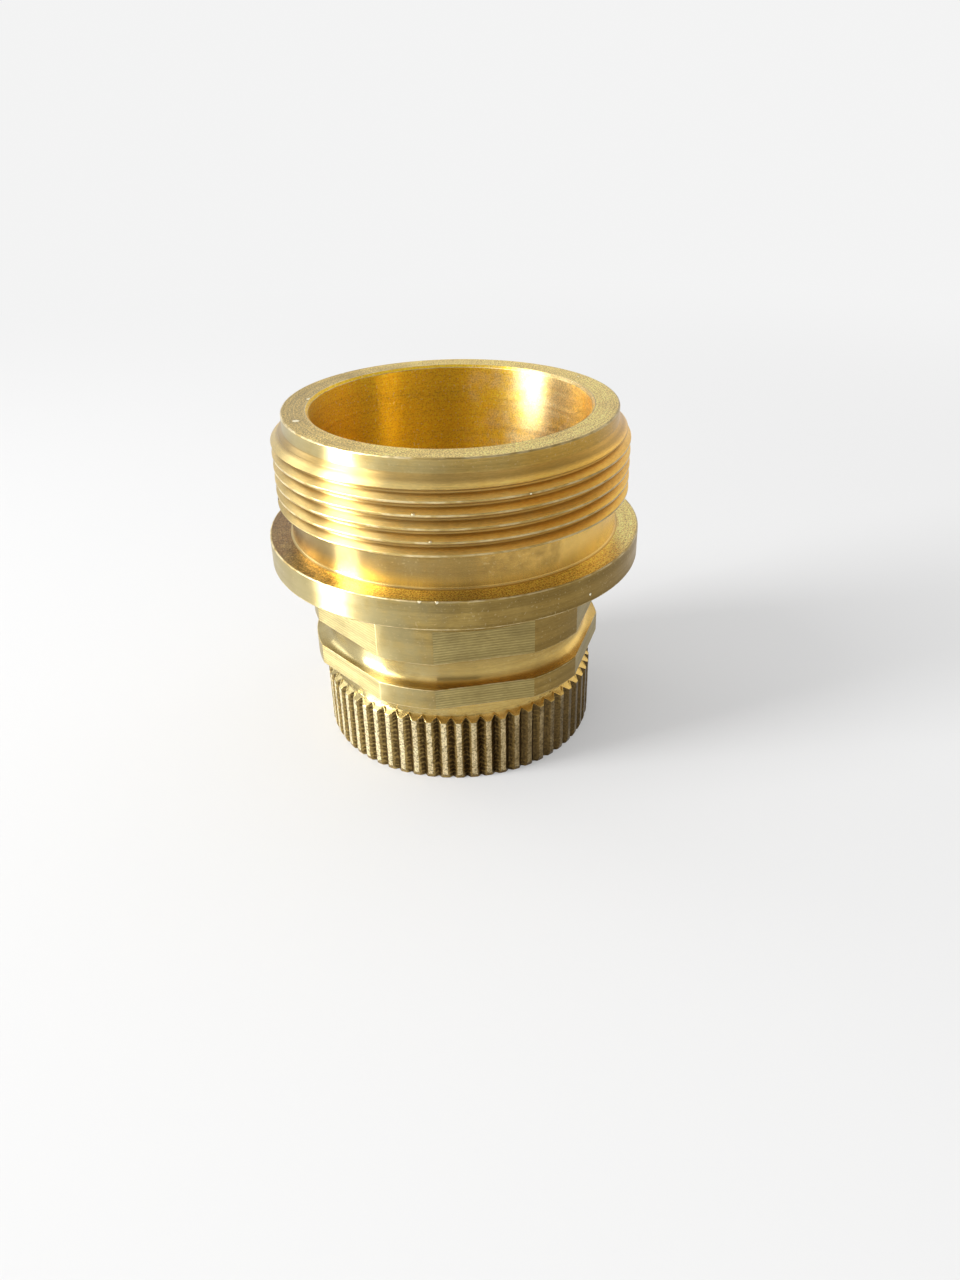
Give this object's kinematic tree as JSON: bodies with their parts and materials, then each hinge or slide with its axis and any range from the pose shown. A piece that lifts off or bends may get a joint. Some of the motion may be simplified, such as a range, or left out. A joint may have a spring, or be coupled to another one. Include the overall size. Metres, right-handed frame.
{
  "type": "turned threaded pipe insert",
  "caption": "Turned brass insert for a moulded pipe fitting: male pipe thread, round flange, two flatted rings and a straight-knurled tail, bored right through.",
  "frame": {"origin": "centre of the knurled tail's end face, on the bore's axis", "axes": "+Z along the bore towards the threaded end, two of the six flats face -Y and +Y"},
  "size_m": [0.0702, 0.0702, 0.0652],
  "materials": {
    "brass": "as turned, satin with bright grooves"
  },
  "bodies": {
    "root": {"threaded_insert": "brass"}
  },
  "joints": []
}
